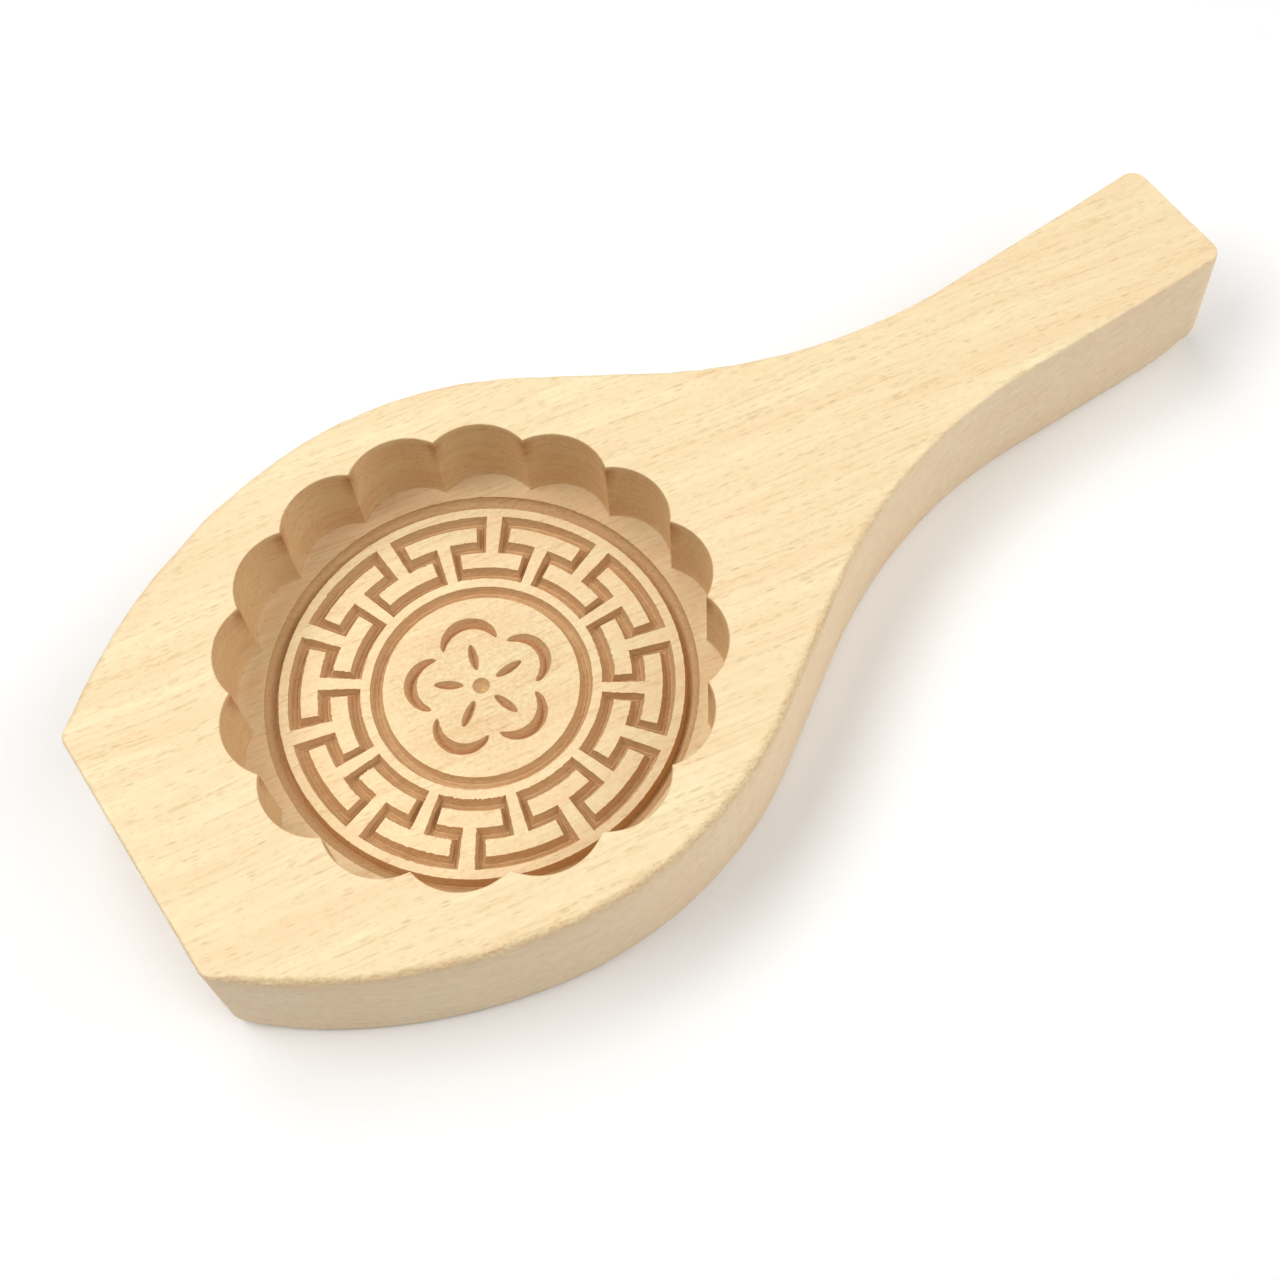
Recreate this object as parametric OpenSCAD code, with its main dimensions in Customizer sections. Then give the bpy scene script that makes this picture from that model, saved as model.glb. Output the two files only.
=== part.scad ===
// Wooden press mold: one beech board, cut to a paddle and carved with a scalloped cavity.
// The base rests on Z = 0 and the cavity's axis is the Z axis. The handle runs along +X.

/* [Board] */
// Overall length, from the nose to the butt of the handle
board_l = 184; // [170:1:220]
// Thickness of the board
board_t = 22; // [19:0.5:30]
// Distance from the cavity's axis to the flat nose
nose_l = 54.5; // [48:0.5:62]
// Width of the head at its belly
head_w = 87.2; // [82:0.2:100]
// Width of the handle where the neck runs into it
neck_w = 19.6; // [16:0.1:26]

/* [Outline] */
// How far the widest point of the head lies behind the cavity's axis
belly_back = 1.5; // [0:0.5:6]
// Radius of the belly, the middle stretch of the head's side
belly_r = 59; // [52:0.5:70]
// Radius of the long arc from the belly forward to the nose
front_r = 84.5; // [70:0.5:110]
// Turn of the side from the belly's widest point forward to the start of the front arc
front_turn = 11; // [5:0.1:16]
// Slope of the straight shoulder between the belly and the neck
shoulder_slope = 33.5; // [28:0.1:39]
// Radius of the hollow neck
neck_r = 79; // [55:1:95]
// Slope at which each side of the handle widens towards the butt
handle_flare = 1.05; // [0:0.05:2]
// Radius of the nose's two corners, seen from above
nose_corner_r = 2.75; // [2.25:0.25:8]
// Radius of the butt's two corners, seen from above
butt_corner_r = 2.5; // [2.25:0.25:8]
// Rounding of the sanded upper edge
top_ease = 1.2; // [0.3:0.1:1.5]
// Rounding of the sanded lower edge
base_ease = 0.8; // [0.3:0.1:1.5]

/* [Cavity] */
// Depth of the cavity's floor below the board's upper face
cavity_d = 13.6; // [10:0.2:15]
// Radius of the mouth, measured to the crown of a scallop
cavity_r = 36.6; // [35:0.2:39]
// Radius of one scallop at the mouth
scallop_r = 8.8; // [8:0.1:10]
// Number of scallops
scallops = 16; // [14:1:18]
// Draft of the wall, so that the pressed cake slips out
wall_draft = 1; // [0:0.25:4]

/* [Floor carving] */
// Radius of the carved disc on the floor, to the outside of its plain rim
disc_r = 30; // [28:0.2:31]
// Width of the border groove around the disc
border_w = 2.1; // [1.2:0.1:2.6]
// Width of the plain rings on both sides of the fret
land_w = 1.4; // [1:0.1:2]
// Width of the carved lines on the disc
line_w = 1.9; // [1.2:0.1:2.2]
// Angle between the two walls of a carved line
line_angle = 60; // [50:1:90]
// Number of times that the fret repeats around the disc
fret_repeats = 10; // [8:1:11]
// Width of each stem of the fret, as an angle about the axis
stem_deg = 4.75; // [3.5:0.25:5.5]
// Width of the fret's radial lines, as an angle about the axis
spoke_deg = 3.35; // [2.5:0.05:4]
// Radius of the circle carved around the medallion
medallion_r = 15.5; // [14.5:0.1:16.5]

/* [Blossom] */
// Number of petals
petals = 5; // [4:1:6]
// Radius of the curve that outlines a petal
petal_r = 4.1; // [3.2:0.1:4.6]
// Distance of that curve's centre from the axis
petal_at = 6.4; // [5.8:0.1:7.2]
// Turn of the petal's outline to each side of its crown
petal_turn = 82; // [60:1:84]
// Greatest width of a petal's outline
petal_line_w = 1.9; // [1:0.1:2.2]
// Distance of the stamens' inner ends from the axis
stamen_in = 2.6; // [2.2:0.1:3]
// Distance of the stamens' outer ends from the axis
stamen_out = 7; // [5:0.1:7.5]
// Greatest width of a stamen
stamen_w = 1.4; // [0.8:0.1:1.6]
// Radius of the dimple at the blossom's heart
heart_r = 1.3; // [0.8:0.1:1.5]

/* [Hidden] */
$fn = 96;

// How far a cutting shape reaches past the face that it cuts
over = 0.4;
// Farthest that a straight stretch of the outline strays from its true arc
arc_error = 0.02;
// Number of flats that round an edge
ease_steps = 4;
// How far the core stays behind the outline, and width of the rim that carries the rounded edges
core_inset = max(top_ease, base_ease) + 0.4;
rim_w = core_inset + 0.4;

floor_z = board_t - cavity_d;
nose_x = -nose_l;
butt_x = board_l - nose_l;

// Unit vector at an angle
function dir(a) = [cos(a), sin(a)];

// One side of the outline, from the nose to the butt, is a chain in which each stretch is tangent to the next
front_a = 90 + front_turn;
shoulder_a = 90 - shoulder_slope;
belly_c = [-belly_back, head_w / 2 - belly_r];
front_c = belly_c + (belly_r - front_r) * dir(front_a);
// The nose's corner touches the nose and the front arc
nose_c_x = nose_x + nose_corner_r;
nose_c_y = front_c.y + sqrt(pow(front_r - nose_corner_r, 2) - pow(nose_c_x - front_c.x, 2));
nose_c = [nose_c_x, nose_c_y];
nose_a = atan2(nose_c.y - front_c.y, nose_c.x - front_c.x);
// The shoulder is as long as it takes to come down to the neck's width
shoulder_p = belly_c + belly_r * dir(shoulder_a);
neck_drop = neck_r * (cos(handle_flare) - cos(shoulder_slope));
shoulder_l = (shoulder_p.y - neck_w / 2 - neck_drop) / sin(shoulder_slope);
neck_p = shoulder_p + shoulder_l * dir(-shoulder_slope);
neck_c = neck_p + neck_r * dir(shoulder_a);
handle_p = neck_c + neck_r * dir(handle_flare - 90);
// The butt's corner touches the butt and the handle's side
butt_c_x = butt_x - butt_corner_r;
butt_side_y = handle_p.y + (butt_c_x - handle_p.x) * tan(handle_flare);
butt_c = [butt_c_x, butt_side_y - butt_corner_r / cos(handle_flare)];

// Places along an arc of the outline, each with the angle at which the edge faces outwards
function arc_steps(r, from, to) = ceil(abs(to - from) / (2 * acos(1 - arc_error / r)));
function round_run(c, r, from, to) = let (n = arc_steps(r, from, to))
    [for (k = [0:n]) let (a = from + (to - from) * k / n) [c + r * dir(a), a]];
function hollow_run(c, r, from, to) = [for (p = round_run(c, r, from, to)) [p[0], p[1] - 180]];
function but_last(list) = [for (k = [0:len(list) - 2]) list[k]];

// One long side, from the nose to the butt. The straight shoulder and handle lie between their arcs
side = concat(
    but_last(round_run(nose_c, nose_corner_r, 180, nose_a)),
    but_last(round_run(front_c, front_r, nose_a, front_a)),
    round_run(belly_c, belly_r, front_a, shoulder_a),
    hollow_run(neck_c, neck_r, 180 + shoulder_a, 270 + handle_flare),
    round_run(butt_c, butt_corner_r, 90 + handle_flare, 0));
other_side = [for (k = [len(side) - 1:-1:0]) [[side[k][0].x, -side[k][0].y], -side[k][1]]];
outline = concat(side, other_side);
places = len(outline);

// Section of the rim that carries the rounded edges: depth behind the outline, then height
ease_turns = [for (k = [0:ease_steps]) 90 * k / ease_steps];
rim_section = concat(
    [[rim_w, 0]],
    [for (a = ease_turns) base_ease * [1 - sin(a), 1 - cos(a)]],
    [for (a = ease_turns) [0, board_t] + top_ease * [1 - cos(a), sin(a) - 1]],
    [[rim_w, board_t]]);

// The rim: that section, carried once around the outline
module rim() {
    n = len(rim_section);
    corners = [for (s = rim_section, p = outline) [each p[0] - s[0] * dir(p[1]), s[1]]];
    faces = [for (k = [0:n - 1], j = [0:places - 1])
        let (low = k * places, high = (k + 1) % n * places, next = (j + 1) % places)
        [low + j, low + next, high + next, high + j]];
    polyhedron(corners, faces);
}

// The core fills the board and ends inside the rim, with its corners between the rim's own
module core() {
    linear_extrude(board_t) polygon([for (k = [0:places - 1])
        let (p = outline[k], q = outline[(k + 1) % places])
        (p[0] + q[0] - core_inset * (dir(p[1]) + dir(q[1]))) / 2]);
}

module board() {
    core();
    rim();
}

// The cavity: a ring of scallops with drafted walls around a round well
scallop_at = cavity_r - scallop_r;
module cavity() {
    h = cavity_d + over;
    slope = tan(wall_draft);
    translate([0, 0, floor_z]) {
        cylinder(r = scallop_at, h = h);
        for (k = [0:scallops - 1]) rotate((k + 0.5) * 360 / scallops) translate([scallop_at, 0, 0])
            cylinder(r1 = scallop_r - cavity_d * slope, r2 = scallop_r + over * slope, h = h);
    }
}

// A carved line's depth follows from its width and the angle of its walls
function line_depth(w) = w / 2 / tan(line_angle / 2);

// A carved circle, given by the radius of its bottom
module ring_line(r, w) {
    reach = w / 2 + over * tan(line_angle / 2);
    rotate_extrude()
        polygon([[r - reach, floor_z + over], [r, floor_z - line_depth(w)], [r + reach, floor_z + over]]);
}

// A carved line through a row of sections, each of them [middle, left edge, right edge, depth] on the floor
module carved_line(sections, closed) {
    n = len(sections);
    spread = [for (s = sections) (s[3] + over) / s[3]];
    corners = [for (k = [0:n - 1]) each [
        [for (v = sections[k][0] + spread[k] * (sections[k][1] - sections[k][0])) v, floor_z + over],
        [for (v = sections[k][0] + spread[k] * (sections[k][2] - sections[k][0])) v, floor_z + over],
        [for (v = sections[k][0]) v, floor_z - sections[k][3]]]];
    walls = [for (k = [0:n - (closed ? 1 : 2)]) let (a = 3 * k, b = 3 * ((k + 1) % n)) each [
        [a, b, b + 1], [a, b + 1, a + 1],
        [a, a + 2, b + 2], [a, b + 2, b],
        [a + 1, b + 1, b + 2], [a + 1, b + 2, a + 2]]];
    ends = closed ? [] : [[0, 1, 2], [3 * n - 1, 3 * n - 2, 3 * n - 3]];
    polyhedron(corners, concat(walls, ends));
}

// The fret is one endless line that turns at right angles. A place on it is [angle, radius]
fret_out = disc_r - land_w - line_w / 2;
fret_in = medallion_r + line_w + land_w;
fret_mid = (fret_out + fret_in) / 2;
fret_step = 360 / fret_repeats;
// The radial lines run along both sides of each stem
spoke_at = (stem_deg + spoke_deg) / 2;
// The turns of one repeat: under the bar of an outer tee, then out and over the bar of an inner tee
fret_turns = [
    [spoke_at, fret_in],
    [fret_step - spoke_at, fret_in],
    [fret_step - spoke_at, fret_mid],
    [fret_step / 2 + spoke_at, fret_mid],
    [fret_step / 2 + spoke_at, fret_out],
    [fret_step * 3 / 2 - spoke_at, fret_out],
    [fret_step * 3 / 2 - spoke_at, fret_mid],
    [fret_step + spoke_at, fret_mid]];
turns = len(fret_turns);
// Most degrees that one flat stretch of a fret arc spans
fret_arc_deg = 5;

function fret_turn(k) = fret_turns[(k + turns) % turns] + [floor(k / turns) * fret_step, 0];
function polar(p) = p[1] * dir(p[0]);
// From the middle of the line to its left edge, for a step along an arc or along a radius
function fret_left(step) = step[1] == 0 ? [0, -sign(step[0]) * line_w / 2]
    : [sign(step[1]) * spoke_deg / 2, 0];
function fret_section(p, edge) = [polar(p), polar(p + edge), polar(p - edge), line_depth(line_w)];

module fret() {
    carved_line([for (k = [0:turns * fret_repeats - 1])
        let (
            p = fret_turn(k),
            before = p - fret_turn(k - 1),
            after = fret_turn(k + 1) - p,
            pieces = max(1, ceil(abs(after[0]) / fret_arc_deg)))
        each concat(
            [fret_section(p, fret_left(before) + fret_left(after))],
            [for (j = [1:1:pieces - 1]) fret_section(p + after * j / pieces, fret_left(after))])], true);
}

// A stroke swells from a fine point to its full width and ends in a point again
stroke_steps = 12;
stroke_tip_w = 0.12;
function swell(t, w) = stroke_tip_w + (w - stroke_tip_w) * sqrt(sin(180 * t));
function stroke_section(p, left, w) = [p, p + left * w / 2, p - left * w / 2, line_depth(w)];

module petal() {
    carved_line([for (k = [0:stroke_steps]) let (t = k / stroke_steps, a = petal_turn * (2 * t - 1))
        stroke_section([petal_at, 0] + petal_r * dir(a), -dir(a), swell(t, petal_line_w))], false);
}

module stamen() {
    carved_line([for (k = [0:stroke_steps]) let (t = k / stroke_steps)
        stroke_section([stamen_in + (stamen_out - stamen_in) * t, 0], [0, 1], swell(t, stamen_w))], false);
}

module blossom() {
    for (k = [0:petals - 1]) rotate(k * 360 / petals) {
        petal();
        stamen();
    }
    translate([0, 0, floor_z - line_depth(2 * heart_r)])
        cylinder(r1 = 0, r2 = heart_r + over * tan(line_angle / 2), h = line_depth(2 * heart_r) + over);
}

module mold_body() {
    color("#F2DCB0") difference() {
        board();
        cavity();
        ring_line(disc_r + border_w / 2, border_w);
        ring_line(medallion_r, line_w);
        fret();
        blossom();
    }
}

mold_body();
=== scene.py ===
from math import asin, atan2, ceil, cos, degrees, hypot, pi, radians, sin, sqrt, tan

import bmesh
import bpy
import numpy as np
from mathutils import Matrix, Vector, geometry


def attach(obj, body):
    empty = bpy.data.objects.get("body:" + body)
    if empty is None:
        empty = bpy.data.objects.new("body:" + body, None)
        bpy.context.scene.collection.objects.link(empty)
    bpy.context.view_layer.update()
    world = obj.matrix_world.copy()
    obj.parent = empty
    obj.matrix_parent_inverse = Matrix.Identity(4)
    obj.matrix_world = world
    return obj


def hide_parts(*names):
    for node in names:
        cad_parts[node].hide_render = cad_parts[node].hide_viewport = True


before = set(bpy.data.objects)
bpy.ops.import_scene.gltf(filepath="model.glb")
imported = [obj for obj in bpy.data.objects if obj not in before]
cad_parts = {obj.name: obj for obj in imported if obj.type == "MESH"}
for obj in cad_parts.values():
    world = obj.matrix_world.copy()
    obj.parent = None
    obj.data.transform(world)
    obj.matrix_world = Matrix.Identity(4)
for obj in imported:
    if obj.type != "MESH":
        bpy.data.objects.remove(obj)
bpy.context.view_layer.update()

# The mold is one board of light beech, left bare. It is sawn to a paddle and its edges are sanded by hand.
# A router cuts the scalloped cavity, and a fine tapered bit then engraves the lines on the cavity's floor.
# Nothing is fixed to it. Lengths in this section are millimetres and angles are degrees.
chance = np.random.default_rng(7)
points, edge_of_point, burn_and_shade_of_point = [], [], []
faces, surface_of_face, flat_faces = [], [], []
# How far a cutter has torn and browned each kind of surface, and whether a saw has left it
surfaces = {
    "planed": (0.06, 0), "sawn": (0, 1), "wall": (0.6, 0), "floor": (0.15, 0), "land": (0.02, 0),
    "border": (1, 0), "line": (0.85, 0),
}


def way(a):
    """Unit vector at an angle."""
    return np.array([cos(radians(a)), sin(radians(a))])


def ripple(n, cells):
    """A smooth closed run of n values between -1 and 1, with that many bumps."""
    knots = chance.uniform(-1, 1, cells)
    at = np.arange(n) * cells / n
    low = at.astype(int)
    t = at - low
    t = t * t * (3 - 2 * t)
    return knots[low % cells] * (1 - t) + knots[(low + 1) % cells] * t


def add_row(xy, z, edge=0.0, darkening=0.0):
    """Adds a row of points, each with how far it is an edge and how far it is darkened: burn on the cusps, painted
    shade elsewhere.
    """
    xy = np.asarray(xy, float)
    z = np.broadcast_to(z, len(xy))
    first = len(points)
    points.extend((x, y, h) for (x, y), h in zip(xy, z))
    edge_of_point.extend(np.broadcast_to(edge, len(xy)))
    burn_and_shade_of_point.extend(np.broadcast_to(darkening, len(xy)))
    return list(range(first, len(points)))


def add_bands(rows, surface, closed=True):
    """Joins each row to the next one, of the same length, with a band of faces."""
    for low, high in zip(rows, rows[1:]):
        n = len(low)
        for k in range(n if closed else n - 1):
            j = (k + 1) % n
            faces.append(list(dict.fromkeys([low[k], low[j], high[j], high[k]])))
            surface_of_face.append(surface)
            flat_faces.append(False)


def add_flat(rows, surface):
    """Fills the level area inside the first row and outside the others."""
    numbers = [p for row in rows for p in row]
    loops = [[Vector((points[p][0], points[p][1], 0)) for p in row] for row in rows]
    for face in geometry.tessellate_polygon(loops):
        faces.append([numbers[p] for p in face])
        surface_of_face.append(surface)
        flat_faces.append(True)


# The outline: a chain of arcs and straights from the nose to the butt, each tangent to the next, and its mirror image
board_l, board_t, nose_l, head_w, neck_w = 184, 22, 54.5, 87.2, 19.6
belly_back, belly_r, front_r, front_turn = 1.5, 59, 84.5, 11
shoulder_slope, neck_r, handle_flare = 33.5, 79, 1.05
nose_corner_r, butt_corner_r = 2.75, 2.5
arc_step, longest_step, fewest_steps = 0.5, 0.65, 8

nose_x, butt_x = -nose_l, board_l - nose_l
front_a, shoulder_a = 90 + front_turn, 90 - shoulder_slope
belly_c = np.array([-belly_back, head_w / 2 - belly_r])
front_c = belly_c + (belly_r - front_r) * way(front_a)
nose_c_x = nose_x + nose_corner_r
nose_c_y = front_c[1] + sqrt((front_r - nose_corner_r) ** 2 - (nose_c_x - front_c[0]) ** 2)
nose_c = np.array([nose_c_x, nose_c_y])
nose_a = degrees(atan2(nose_c[1] - front_c[1], nose_c[0] - front_c[0]))
shoulder_p = belly_c + belly_r * way(shoulder_a)
neck_drop = neck_r * (cos(radians(handle_flare)) - cos(radians(shoulder_slope)))
shoulder_run = (shoulder_p[1] - neck_w / 2 - neck_drop) / sin(radians(shoulder_slope))
neck_c = shoulder_p + shoulder_run * way(-shoulder_slope) + neck_r * way(shoulder_a)
handle_p = neck_c + neck_r * way(handle_flare - 90)
butt_c_x = butt_x - butt_corner_r
butt_side_y = handle_p[1] + (butt_c_x - handle_p[0]) * tan(radians(handle_flare))
butt_c = np.array([butt_c_x, butt_side_y - butt_corner_r / cos(radians(handle_flare))])

# Each place on one side, and the angle that the side faces there. The neck is hollow, so it faces its centre
one_side = []
for centre, r, start, end, turned in (
    (nose_c, nose_corner_r, 180, nose_a, 0),
    (front_c, front_r, nose_a, front_a, 0),
    (belly_c, belly_r, front_a, shoulder_a, 0),
    (neck_c, neck_r, 180 + shoulder_a, 270 + handle_flare, -180),
    (butt_c, butt_corner_r, 90 + handle_flare, 0, 0),
):
    steps = max(fewest_steps, ceil(r * radians(abs(end - start)) / arc_step))
    for k in range(steps + 1):
        a = start + (end - start) * k / steps
        one_side.append((centre + r * way(a), a + turned))
both_sides = one_side + [(p * (1, -1), -a) for p, a in reversed(one_side)]

# The straights are parted into steps too. Across the nose the angle goes from -180 to 180 and stays as it is
outline = []
for (p, a), (q, b) in zip(both_sides, both_sides[1:] + both_sides[:1]):
    run = hypot(*(q - p))
    if run < 1e-6:
        continue
    steps = ceil(run / longest_step)
    bend = b - a if abs(b - a) < 30 else 0
    outline += [(p + (q - p) * k / steps, a + bend * k / steps) for k in range(steps)]
rim = np.array([p for p, a in outline])
facing = np.array([way(a) for p, a in outline])
places = len(rim)

# The edges are sanded by hand, so their rounding wanders. It is fuller around the head than along the handle, and
# the saw's crisp edge is left across the nose
head_ease, handle_ease, nose_ease = 1.25, 0.5, 0.45
neck_from, neck_to = 45, 80
along_handle = np.clip((rim[:, 0] - neck_from) / (neck_to - neck_from), 0, 1)
at_nose = np.clip((nose_x + nose_corner_r - rim[:, 0]) / nose_corner_r, 0, 1)
top_ease = head_ease - (head_ease - handle_ease) * along_handle - (head_ease - nose_ease) * at_nose
top_ease *= 1 + 0.16 * ripple(places, 60) + 0.1 * ripple(places, 190)

# The head's top edge is torn roughest on the near side, toward -y, and least on the far side. Its brown tint follows
# the same bias, which is painted shade on the near side's rounding
tear_and_shade_middle, tear_and_shade_least, tear_and_shade_over = 0.35, 0.15, 20
tear_and_shade = np.clip(tear_and_shade_middle - rim[:, 1] / tear_and_shade_over, tear_and_shade_least, 1)
tear_and_shade *= (1 - 0.85 * along_handle) * (1 - 0.7 * at_nose)

# At the four corners the sander has rolled over the base, so the rounding is wider there, and highest at the butt
plain_ease, corner_ease, ease_reach, ease_full = 0.8, 1.1, 9, 3
nose_rise, butt_rise, rise_reach = 1, 2.8, 7
corner = np.min([np.hypot(*(rim - c * (1, y)).T) for c in (nose_c, butt_c) for y in (1, -1)], axis=0)
base_ease = plain_ease * (1 + 0.2 * ripple(places, 50))
base_ease += corner_ease * np.clip((ease_reach - corner) / (ease_reach - ease_full), 0, 1)
rolled = np.clip((rise_reach - corner) / (rise_reach - nose_corner_r), 0, 1)
base_rise = base_ease + np.where(rim[:, 0] < 0, nose_rise, butt_rise) * (1 - np.sqrt(1 - rolled ** 2))

# The sawn side strays from a true surface by a few hundredths. A level margin beside each rounding keeps the flat
# faces looking flat
ease_steps, side_rows, margin = 6, 5, 0.35
stray = [0.02 + 0.03 * (1 + ripple(places, 46)) for _ in range(side_rows + 2)]
quarter = [90 * k / ease_steps for k in range(ease_steps + 1)]


def set_back(depth):
    """The outline, moved inward by a depth at each place."""
    return rim - facing * depth[:, None]


rows = [add_row(set_back(base_ease + margin), 0)]
for a in quarter:
    (c, s), bulge = way(a), sin(radians(2 * a))
    rough = 0.03 * (1 + ripple(places, places // 3)) * bulge + stray[0] * s
    rows.append(add_row(set_back(base_ease * (1 - s) + rough), base_rise * (1 - c), 0.6 * bulge))
for k in range(1, side_rows + 1):
    t = k / (side_rows + 1)
    rows.append(add_row(set_back(stray[k]), base_rise * (1 - t) + (board_t - top_ease) * t))
# The top rounding's brown tint is strongest on the near side, where it is painted shade
for a in quarter:
    (c, s), bulge = way(a), sin(radians(2 * a))
    torn = (0.1 * tear_and_shade + 0.02) * (1 + ripple(places, places // 2)) * bulge
    back = top_ease * (1 - c) + torn + stray[-1] * c
    rows.append(add_row(set_back(back), board_t - top_ease * (1 - s), (0.3 + 0.7 * bulge) * tear_and_shade))
rows.append(add_row(set_back(top_ease + margin), board_t))
add_bands(rows, "sawn")
add_flat(rows[:1], "planed")
board_top = rows[-1]

# The cavity's wall: a ring of scallops with a slight draft, a softened mouth and a small fillet at the foot
floor_z, cavity_r, scallop_r, scallops, wall_draft = 8.4, 36.6, 8.8, 16, 1
mouth_ease, foot_r, wall_steps, scallop_steps = 0.14, 0.2, 12, 28
scallop_at = cavity_r - scallop_r
half_step = 180 / scallops
draft = tan(radians(wall_draft))


def scallop_ring(r):
    """The ring of scallops of that radius, each from cusp to cusp."""
    sweep = half_step + degrees(asin(scallop_at * sin(radians(half_step)) / r))
    ring = []
    for k in range(scallops):
        middle = (2 * k + 1) * half_step
        turns = [middle + sweep * (2 * j / scallop_steps - 1) for j in range(scallop_steps)]
        ring += [scallop_at * way(middle) + r * way(a) for a in turns]
    return np.array(ring)


rows = [add_row(scallop_ring(scallop_r + mouth_ease + margin), board_t)]
for a in (0, 45, 90):
    c, s = way(a)
    rows.append(add_row(scallop_ring(scallop_r + mouth_ease * (1 - s)), board_t - mouth_ease * (1 - c), 0.25 * s))
# The cutter has burnt the thin cusps, most near the mouth
cusp_burn, cusp_spread, burnt_depth = 1.3, 2.5, 7
one_cusp = [max(0, cusp_burn - min(j, scallop_steps - j) / cusp_spread) for j in range(scallop_steps)]
cusps = np.tile(one_cusp, scallops)
for k in range(1, wall_steps + 1):
    depth = mouth_ease + (board_t - floor_z - mouth_ease - foot_r) * k / wall_steps
    burn_and_shade = cusps * max(0, 1 - depth / burnt_depth)
    rows.append(add_row(scallop_ring(scallop_r - draft * depth), board_t - depth, darkening=burn_and_shade))

# Painted shadow of the wall: the fillet at the wall's foot and the border's outer edge are darkened, most on the far
# side of the floor
shadow_side_way, wall_shadow_strength = 85, 0.18


def wall_shadow_at(xy):
    """How far painted shadow of the wall darkens each place around the floor."""
    return wall_shadow_strength * (1 + xy @ way(shadow_side_way) / np.hypot(*xy.T))


foot_in = scallop_r - draft * (board_t - floor_z)
# The fillet at the wall's foot takes the painted shadow of the wall, strongest on the far side
for a in (45, 90):
    c, s = way(a)
    xy = scallop_ring(foot_in - foot_r * (1 - c))
    rows.append(add_row(xy, floor_z + foot_r * (1 - s), darkening=wall_shadow_at(xy) * s))
add_bands(rows[:2], "planed")
add_bands(rows[1:], "wall")
add_flat([board_top, rows[0]], "planed")
cavity_foot = rows[-1]

# The engraved lines: the bit tapers by about 25 degrees to each side and has a small flat tip, which leaves a faint
# ridge along the middle of a line that was cut in two passes. The border's inner pass is the deeper one.
# A section gives places across a line, from one edge at -1 to the other at 1, and the share of the depth there
disc_r, border_w, land_w, line_w, medallion_r = 30, 2.1, 1.4, 1.9, 15.5
border_depth, medallion_depth, fret_depth = 1.8, 1.3, 1.55
line_section = [(-1, 0), (-0.93, 0.16), (-0.6, 0.68), (-0.4, 0.97), (-0.24, 1), (0, 0.8),
                (0.24, 1), (0.4, 0.97), (0.6, 0.68), (0.93, 0.16), (1, 0)]
border_section = [(-1, 0), (-0.92, 0.18), (-0.65, 0.42), (-0.35, 0.6), (-0.1, 0.72), (0.15, 0.9),
                  (0.4, 1), (0.55, 1), (0.72, 0.66), (0.93, 0.16), (1, 0)]
# Painted shade darkens the bottom of each pass a little, where the line is deepest
groove_bottom_shade, ragged, ring_step = 0.2, 0.02, 0.4


def add_line(left, middle, right, depth, section, surface, darkening=0.0):
    """Engraves a closed line between two edges and returns the rows of points along its edges."""
    cut_rows = []
    for across, share in section:
        edge = left if across < 0 else right
        xy = middle + abs(across) * (edge - middle)
        # The outer edge row takes the darkening it is given, painted shadow on the border, and the deepest rows take
        # painted shade
        painted_shade = darkening if across == -1 else groove_bottom_shade * (share > 0.95)
        cut_rows.append(add_row(xy, floor_z - share * depth, 0.4 * (share < 0.3), painted_shade))
    add_bands(cut_rows, surface)
    return cut_rows[0], cut_rows[-1]


def add_ring(r, w, depth, section, surface, darkening):
    """Engraves a circle."""
    n = ceil(2 * pi * r / ring_step)
    out = np.array([way(360 * k / n) for k in range(n)])
    outer, inner = (r + sense * w / 2 + ragged * chance.standard_normal(n) for sense in (1, -1))
    depth = depth * (1 + 0.05 * ripple(n, 40))
    darkening = darkening * wall_shadow_at(out)
    return add_line(out * outer[:, None], out * r, out * inner[:, None], depth, section, surface, darkening)


# The border's outer edge takes the painted shadow of the wall as well
border_out, border_in = add_ring(disc_r + border_w / 2, border_w, border_depth, border_section, "border", 1)
medallion_out, medallion_in = add_ring(medallion_r, line_w, medallion_depth, line_section, "line", 0)

# The fret is one endless line that turns at right angles. A place on it is an angle and a radius
fret_repeats, stem_deg, spoke_deg, fret_step = 10, 4.75, 3.35, 0.32
fret_out, fret_in = disc_r - land_w - line_w / 2, medallion_r + line_w + land_w
fret_mid = (fret_out + fret_in) / 2
repeat = 360 / fret_repeats
spoke_at = (stem_deg + spoke_deg) / 2
turns = np.array([(repeat * k + a, r) for k in range(fret_repeats) for a, r in (
    (spoke_at, fret_in), (repeat - spoke_at, fret_in),
    (repeat - spoke_at, fret_mid), (repeat / 2 + spoke_at, fret_mid),
    (repeat / 2 + spoke_at, fret_out), (repeat * 3 / 2 - spoke_at, fret_out),
    (repeat * 3 / 2 - spoke_at, fret_mid), (repeat + spoke_at, fret_mid))])
runs = np.roll(turns, -1, 0) - turns
runs[-1] += (360, 0)
radial = abs(runs[:, 1]) > 1e-9
to_left = np.array([(np.sign(d[1]) * spoke_deg / 2, 0) if up else (0, -np.sign(d[0]) * line_w / 2)
                    for d, up in zip(runs, radial)])
mitre = to_left + np.roll(to_left, 1, 0)

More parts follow.
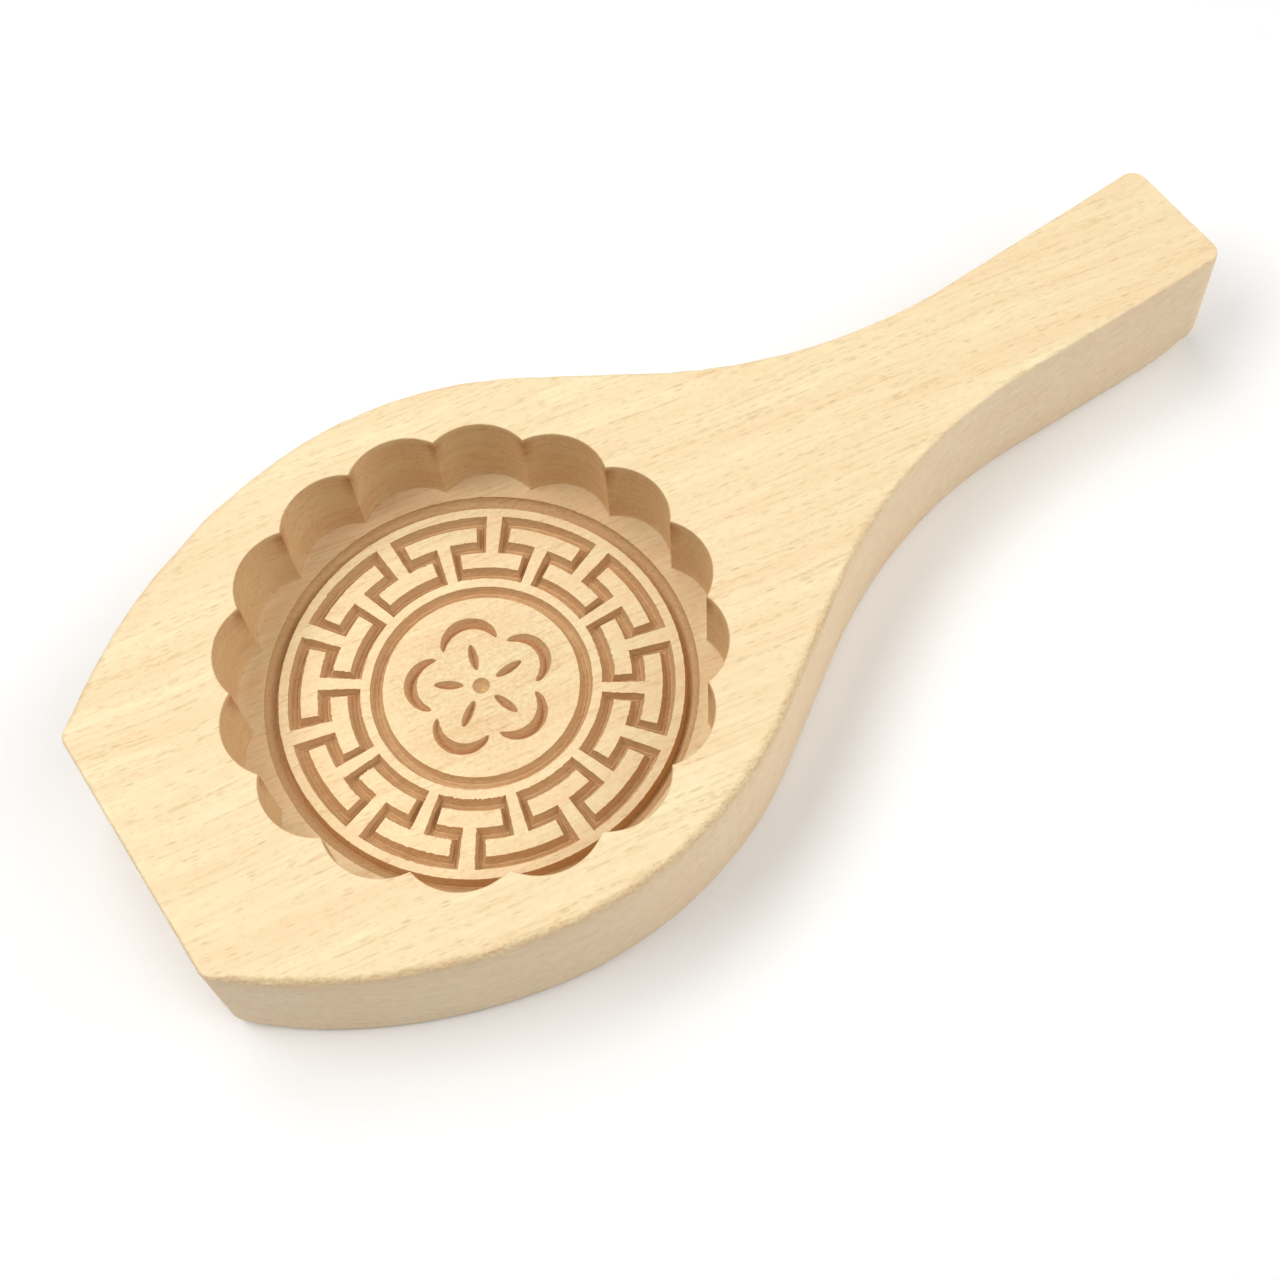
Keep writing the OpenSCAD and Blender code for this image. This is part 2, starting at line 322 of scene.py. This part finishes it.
# Some stretches are more ragged, and on a few arcs the bit has chattered: a comb of small notches along one edge
very_ragged, notch_in, few = 0.045, 0.11, 0.3
rows = [[], [], []]
for k, (turn, d, up) in enumerate(zip(turns, runs, radial)):
    run = abs(d[1]) if up else radians(abs(d[0])) * turn[1]
    steps = ceil(run / fret_step)
    t = np.arange(steps)[:, None] / steps
    after = (k + 1) % len(turns)
    torn = very_ragged if chance.random() < few else ragged
    notch = notch_in if not up and chance.random() < few else 0
    for row, sense in zip(rows, (1, 0, -1)):
        start, end = turn + sense * mitre[k], turn + d + sense * mitre[after]
        place = start + (end - start) * t
        jag = torn * chance.standard_normal(steps) * abs(sense) + notch * (sense == 1) * (np.arange(steps) % 2)
        jag[0] = 0
        place[:, 0 if up else 1] += np.degrees(jag / place[:, 1]) if up else jag
        row += [r * way(a) for a, r in place]
left, middle, right = (np.array(row) for row in rows)
depth = fret_depth * (1 + 0.06 * ripple(len(middle), 300))
fret_edges = add_line(left, middle, right, depth, line_section, "line")
fret_inner, fret_outer = sorted(fret_edges, key=lambda row: np.mean([hypot(*points[p][:2]) for p in row]))

# The blossom: strokes that swell from a fine point and end in a point again, around a dimple
petals, petal_r, petal_at, petal_turn, petal_w = 5, 4.1, 6.4, 82, 1.9
stamen_in, stamen_out, stamen_w, heart_r = 2.6, 7, 1.4, 1.3
stroke_steps, stroke_ragged, stroke_fall, stroke_bottom_shade, stroke_edge = 36, 0.025, 1.7, 0.8, 0.8
stroke_section = [(-0.8, 0.26), (-0.4, 0.74), (0, 1), (0.4, 0.74), (0.8, 0.26)]
# The dimple's rows: share of its radius, depth, and how far the row is an edge
heart_rows = ((1, 0, stroke_edge), (0.8, 0.45, 0), (0.45, 1.1, 0), (0.15, 1.45, 0))
blossom_rows = []


def add_stroke(path, w):
    """Engraves a stroke along a path and keeps the row of points around its edge."""
    ahead = np.gradient(path, axis=0)
    aside = np.stack([-ahead[:, 1], ahead[:, 0]], 1) / np.hypot(*ahead.T)[:, None]
    t = np.linspace(0, 1, len(path))
    half = w / 2 * np.sqrt(np.sin(pi * t[1:-1]))
    near, far = (half + stroke_ragged * chance.standard_normal(len(half)) for _ in range(2))
    tips = add_row(path[[0, -1]], floor_z, stroke_edge)
    body, aside = path[1:-1], aside[1:-1]
    cut_rows = [add_row(body - aside * near[:, None], floor_z, stroke_edge)]
    # The deeper rows of each stroke are darkened with painted shade
    for across, share in stroke_section:
        xy = body + across * aside * half[:, None]
        cut_rows.append(add_row(xy, floor_z - share * stroke_fall * half, darkening=stroke_bottom_shade * share ** 3))
    cut_rows.append(add_row(body + aside * far[:, None], floor_z, stroke_edge))
    cut_rows = [tips[:1] + row + tips[1:] for row in cut_rows]
    add_bands(cut_rows, "line", closed=False)
    blossom_rows.append(cut_rows[0] + cut_rows[-1][-2:0:-1])


petal = np.array([(petal_at, 0) + petal_r * way(a) for a in np.linspace(-petal_turn, petal_turn, stroke_steps)])
stamen = np.stack([np.linspace(stamen_in, stamen_out, stroke_steps), np.zeros(stroke_steps)], 1)
for k in range(petals):
    turn = 360 * k / petals
    spin = np.array([way(turn), way(turn + 90)])
    add_stroke(petal @ spin, petal_w)
    add_stroke(stamen @ spin, stamen_w)

heart = np.array([way(a) for a in range(0, 360, 12)])
rows = [add_row(heart * heart_r * share, floor_z - depth, edge) for share, depth, edge in heart_rows]
add_bands(rows, "line")
add_flat(rows[-1:], "line")
blossom_rows.append(rows[0])

add_flat([cavity_foot, border_out], "floor")
add_flat([border_in, fret_outer], "land")
add_flat([fret_inner, medallion_out], "land")
add_flat([medallion_in] + blossom_rows, "land")

mesh = bpy.data.meshes.new("beech_mold")
mesh.from_pydata([[c / 1000 for c in p] for p in points], [], faces)
shell = bmesh.new()
shell.from_mesh(mesh)
bmesh.ops.recalc_face_normals(shell, faces=shell.faces)
shell.to_mesh(mesh)
shell.free()
mesh.polygons.foreach_set("use_smooth", [not flat for flat in flat_faces])
mesh.set_sharp_from_angle(angle=radians(32))
for k, name in enumerate(("cut", "sawn")):
    values = [surfaces[surface][k] for surface in surface_of_face]
    mesh.attributes.new(name, "FLOAT", "FACE").data.foreach_set("value", values)
for name, values in (("edge", edge_of_point), ("burn_and_shade", burn_and_shade_of_point)):
    mesh.attributes.new(name, "FLOAT", "POINT").data.foreach_set("value", values)
mold = bpy.data.objects.new("beech_mold", mesh)
bpy.context.scene.collection.objects.link(mold)


# Beech, planed, routed and sanded, with no finish: cream with soft pink bands along the grain, short darker ray
# flecks, and browner, duller wood where the cutter has crossed the fibres. The grain lies 10 degrees off the handle.
def paint(code):
    """An sRGB colour code as linear values."""
    parts = [int(code[k:k + 2], 16) / 255 for k in (1, 3, 5)]
    return [p / 12.92 if p <= 0.04045 else ((p + 0.055) / 1.055) ** 2.4 for p in parts] + [1]


# The wood also carries painted shade in the bottoms of the engraved lines and strokes, painted shadow of the wall on
# the far side of the cavity's floor, and painted shade on the near side's top rounding
beech = bpy.data.materials.new("beech_planed_and_routed")
beech.use_nodes = True
tree = beech.node_tree
tree.nodes.clear()


def add(kind, links, out=0, **settings):
    """Adds a node with its settings, sets or links its inputs, and returns one of its outputs."""
    made = tree.nodes.new(kind)
    for name, value in settings.items():
        setattr(made, name, value)
    for socket, value in links.items():
        if isinstance(value, bpy.types.NodeSocket):
            tree.links.new(value, made.inputs[socket])
        else:
            made.inputs[socket].default_value = value
    return made.outputs[out] if made.outputs else made


grain_turn = radians(10)
grain_way = (cos(grain_turn), -sin(grain_turn), 0)
place = add("ShaderNodeTexCoord", {}, "Object")
normal = add("ShaderNodeNewGeometry", {}, "Normal")
lengthwise = add("ShaderNodeMapping", {"Vector": place, "Rotation": (0, 0, grain_turn)})
# The fibres wander by about a millimetre over a few centimetres
sway_cell, sway_reach = 35.7, 3
sway = add("ShaderNodeTexNoise", {"Vector": lengthwise, "Scale": 1000 / sway_cell, "Detail": 1.0}, "Color")
sway = add("ShaderNodeVectorMath", {0: sway, 1: (0.5, 0.5, 0.5)}, operation="SUBTRACT")
sideways = (0, sway_reach / 1000, sway_reach / 1000)
wood = add("ShaderNodeVectorMath", {0: sway, 1: sideways, 2: lengthwise}, operation="MULTIPLY_ADD")

# Patterns of the grain: length, width and height of a cell in millimetres, detail, and the stretch of the noise used
masks = {}
for name, cell, detail, low, high in (
    ("patches", (48, 4.5, 4.5), 2.0, 0.35, 0.65),
    ("streaks", (26, 1.1, 1.1), 2.0, 0.42, 0.75),
    ("mottle", (3, 0.8, 0.8), 2.0, 0.36, 0.72),
    ("pore_lines", (34, 0.6, 0.6), 2.0, 0.5, 0.7),
    ("dashes", (1.5, 0.5, 0.5), 1.0, 0.42, 0.62),
    ("fibres", (10, 0.42, 0.42), 3.0, 0.3, 0.75),
    ("grit", (0.6, 0.5, 0.5), 3.0, 0.25, 0.75),
    ("passes", (40, 40, 1.1), 1.0, 0.5, 0.8),
    ("pits", (1.3, 1.1, 0.9), 2.0, 0.4, 0.7),
):
    at = add("ShaderNodeMapping", {"Vector": wood, "Scale": [1000 / size for size in cell]})
    noise = add("ShaderNodeTexNoise", {"Vector": at, "Scale": 1.0, "Detail": detail})
    masks[name] = add("ShaderNodeMapRange", {"Value": noise, "From Min": low, "From Max": high})

# Ray flecks: short spindles along the grain. Each cell holds one, and the darker ones are rare
for name, cell, spread, rare in (
    ("flecks", (2.8, 0.6, 2.4), 0.36, 0.4),
    ("fine_flecks", (1.3, 0.38, 0.9), 0.38, 0.25),
):
    at = add("ShaderNodeMapping", {"Vector": wood, "Scale": [1000 / size for size in cell]})
    away = add("ShaderNodeTexVoronoi", {"Vector": at, "Scale": 1.0, "Randomness": 1.0}, "Distance")
    lot = add("ShaderNodeSeparateColor", {"Color": away.node.outputs["Color"]})
    lot = add("ShaderNodeMapRange", {"Value": lot, "From Min": rare, "From Max": 1.0})
    spindle = add("ShaderNodeMapRange", {"Value": away, "From Min": spread, "From Max": 0.06})
    masks[name] = add("ShaderNodeMath", {0: spindle, 1: lot}, operation="MULTIPLY")

# Growth rings about a pith well below the board, each with a thin browner line of late wood
pith, ring_gap = (0, 70, -160), 2.2
from_pith = add("ShaderNodeVectorMath", {0: wood, 1: [c / 1000 for c in pith]}, operation="SUBTRACT")
from_pith = add("ShaderNodeVectorMath", {0: from_pith, 1: (0, 1, 1)}, operation="MULTIPLY")
ring_at = add("ShaderNodeVectorMath", {0: from_pith}, "Value", operation="LENGTH")
ring_at = add("ShaderNodeMath", {0: ring_at, 1: 1000 / ring_gap, 2: masks["patches"]}, operation="MULTIPLY_ADD")
ring_at = add("ShaderNodeMath", {0: ring_at}, operation="FRACT")
masks["late_wood"] = add("ShaderNodeMapRange", {"Value": ring_at, "From Min": 0.4, "From Max": 0.97})

# What kind of surface it is, and which way it faces
for name in ("cut", "sawn", "edge", "burn_and_shade"):
    masks[name] = add("ShaderNodeAttribute", {}, "Fac", attribute_name=name)
for name, way_of_face, low, high in (("end_grain", grain_way, 0.25, 0.9), ("level", (0, 0, 1), 0.3, 0.8)):
    turned = add("ShaderNodeVectorMath", {0: normal, 1: way_of_face}, "Value", operation="DOT_PRODUCT")
    turned = add("ShaderNodeMath", {0: turned}, operation="ABSOLUTE")
    masks[name] = add("ShaderNodeMapRange", {"Value": turned, "From Min": low, "From Max": high})
masks["upright"] = add("ShaderNodeMath", {0: 1.0, 1: masks["level"]}, operation="SUBTRACT")

# The colours, each laid over the ones before it: its pattern, the surface that it keeps to, its strength and its code
colour = add("ShaderNodeMix", {0: masks["patches"], 6: paint("#FAEBC0"), 7: paint("#F8DFB5")}, 2, data_type="RGBA")
for pattern, kept_to, strength, code in (
    ("streaks", None, 0.16, "#F3D3A4"),
    ("mottle", None, 0.3, "#F0CC9A"),
    ("pore_lines", None, 0.08, "#E2BC88"),
    ("pore_lines", "dashes", 0.38, "#C8A06A"),
    ("fibres", None, 0.14, "#EFCF9E"),
    ("late_wood", None, 0.07, "#E8BE8C"),
    ("flecks", "level", 0.46, "#BE965F"),
    ("fine_flecks", "level", 0.3, "#C8A06A"),
    ("cut", None, 0.6, "#BB8549"),
    ("fibres", "cut", 0.3, "#A87444"),
    ("late_wood", "end_grain", 0.1, "#B98550"),
    ("passes", "cut", 0.25, "#A87444"),
    ("sawn", "upright", 0.5, "#EFD5B9"),
    ("pits", "sawn", 0.14, "#B99F80"),
    # Burn on the cusps, painted shade in the bottoms of lines and strokes, and painted shadow of the wall beside its
    # foot
    ("burn_and_shade", None, 0.6, "#B0642E"),
    ("fibres", "burn_and_shade", 0.45, "#8F5F34"),
    # Edges are browner with grit; on the near side of the head this tint is painted shade too
    ("edge", "grit", 0.6, "#CFA060"),
    ("end_grain", None, 0.1, "#D8AC74"),
):
    share = add("ShaderNodeMath", {0: masks[pattern], 1: strength}, operation="MULTIPLY")
    if kept_to:
        share = add("ShaderNodeMath", {0: share, 1: masks[kept_to]}, operation="MULTIPLY")
    colour = add("ShaderNodeMix", {0: share, 6: colour, 7: paint(code)}, 2, data_type="RGBA")

# The cutter leaves the end grain open, so pores and fibres stand out as fine relief, with grit where wood is torn
relief_depth, plain_grit, torn_grit = 0.08, 0.3, 1.4
height = 0.0
for pattern, rise in (("flecks", -0.5), ("fine_flecks", -0.4), ("fibres", 0.5), ("mottle", -0.2)):
    height = add("ShaderNodeMath", {0: masks[pattern], 1: rise, 2: height}, operation="MULTIPLY_ADD")
rough = add("ShaderNodeMath", {0: masks["edge"], 1: masks["cut"]}, operation="MAXIMUM")
rough = add("ShaderNodeMath", {0: rough, 1: torn_grit, 2: plain_grit}, operation="MULTIPLY_ADD")
height = add("ShaderNodeMath", {0: masks["grit"], 1: rough, 2: height}, operation="MULTIPLY_ADD")
relief = add("ShaderNodeBump", {"Height": height, "Strength": 0.6, "Distance": relief_depth / 1000})
sheen = add("ShaderNodeMapRange", {"Value": masks["fibres"], "To Min": 0.52, "To Max": 0.68})
finish = add("ShaderNodeBsdfPrincipled", {
    "Base Color": colour, "Normal": relief, "Specular IOR Level": 0.25, "Roughness": sheen})
add("ShaderNodeOutputMaterial", {"Surface": finish})
mesh.materials.append(beech)

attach(mold, "root")
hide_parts("mold_body")

# The studio: a table of matt white card that the mold lies on, which takes its soft shadow and has no gloss.
# Two soft lamps stand high up behind the mold, one in front and one low beside it. Lengths here are metres.
# The table runs out of the picture on all sides, and what the camera sees past it is white.
table_reach, table_z = 0.5, -0.0003
table_mesh = bpy.data.meshes.new("white_table")
corners = [(x * table_reach, y * table_reach, table_z) for x, y in ((-1, -1), (1, -1), (1, 1), (-1, 1))]
table_mesh.from_pydata(corners, [], [(0, 1, 2, 3)])
table = bpy.data.objects.new("white_table", table_mesh)
bpy.context.scene.collection.objects.link(table)
white = bpy.data.materials.new("white_card_matt")
white.use_nodes = True
tree = white.node_tree
tree.nodes.clear()
card = add("ShaderNodeBsdfDiffuse", {"Color": paint("#FDFDFD")})
add("ShaderNodeOutputMaterial", {"Surface": card})
table_mesh.materials.append(white)

# The room is white to the eye and in reflections, and gives hardly any light
room_light = 0.03
world = bpy.data.worlds.new("soft_room")
bpy.context.scene.world = world
world.use_nodes = True
tree = world.node_tree
tree.nodes.clear()
rays = add("ShaderNodeLightPath", {}).node
seen = rays.outputs["Is Camera Ray"]
for other in ("Is Glossy Ray", "Is Transmission Ray"):
    seen = add("ShaderNodeMath", {0: seen, 1: rays.outputs[other]}, operation="MAXIMUM")
level = add("ShaderNodeMapRange", {"Value": seen, "To Min": room_light, "To Max": 1.0})
room = add("ShaderNodeBackground", {"Color": paint("#FFFFFF"), "Strength": level})
add("ShaderNodeOutputWorld", {"Surface": room})

# Each lamp's turn about the mold and its rise in degrees, its distance, its width and its watts
middle_of_mold = Vector((0.03, 0, 0.01))
for name, turn, rise, distance, size, watts in (
    ("softbox_behind_head", 155, 58, 0.7, 0.42, 2.39),
    ("softbox_behind_handle", 91, 56, 1.0, 0.7, 3.41),
    ("softbox_in_front", 297, 53, 1.0, 0.85, 4.24),
    ("softbox_beside", 345, 27, 1.0, 0.7, 2.73),
):
    lamp = bpy.data.lights.new(name, "AREA")
    lamp.shape, lamp.size, lamp.energy = "DISK", size, watts
    held = bpy.data.objects.new(name, lamp)
    out, up = way(rise)
    toward = Vector((*(out * way(turn)), up))
    held.location = middle_of_mold + toward * distance
    held.rotation_euler = toward.to_track_quat("Z", "Y").to_euler()
    bpy.context.scene.collection.objects.link(held)

# The camera stands where the photograph's outline and carved circles put it
camera = bpy.data.cameras.new("camera")
camera.lens, camera.sensor_width = 56.032, 36
camera.clip_start, camera.clip_end = 0.01, 20
held = bpy.data.objects.new("camera", camera)
held.location = (-0.038034, -0.124226, 0.27176)
held.rotation_euler = [radians(a) for a in (26.4524, 3.0853, -33.8331)]
bpy.context.scene.collection.objects.link(held)
bpy.context.scene.camera = held
bpy.context.scene.view_settings.view_transform = "Standard"
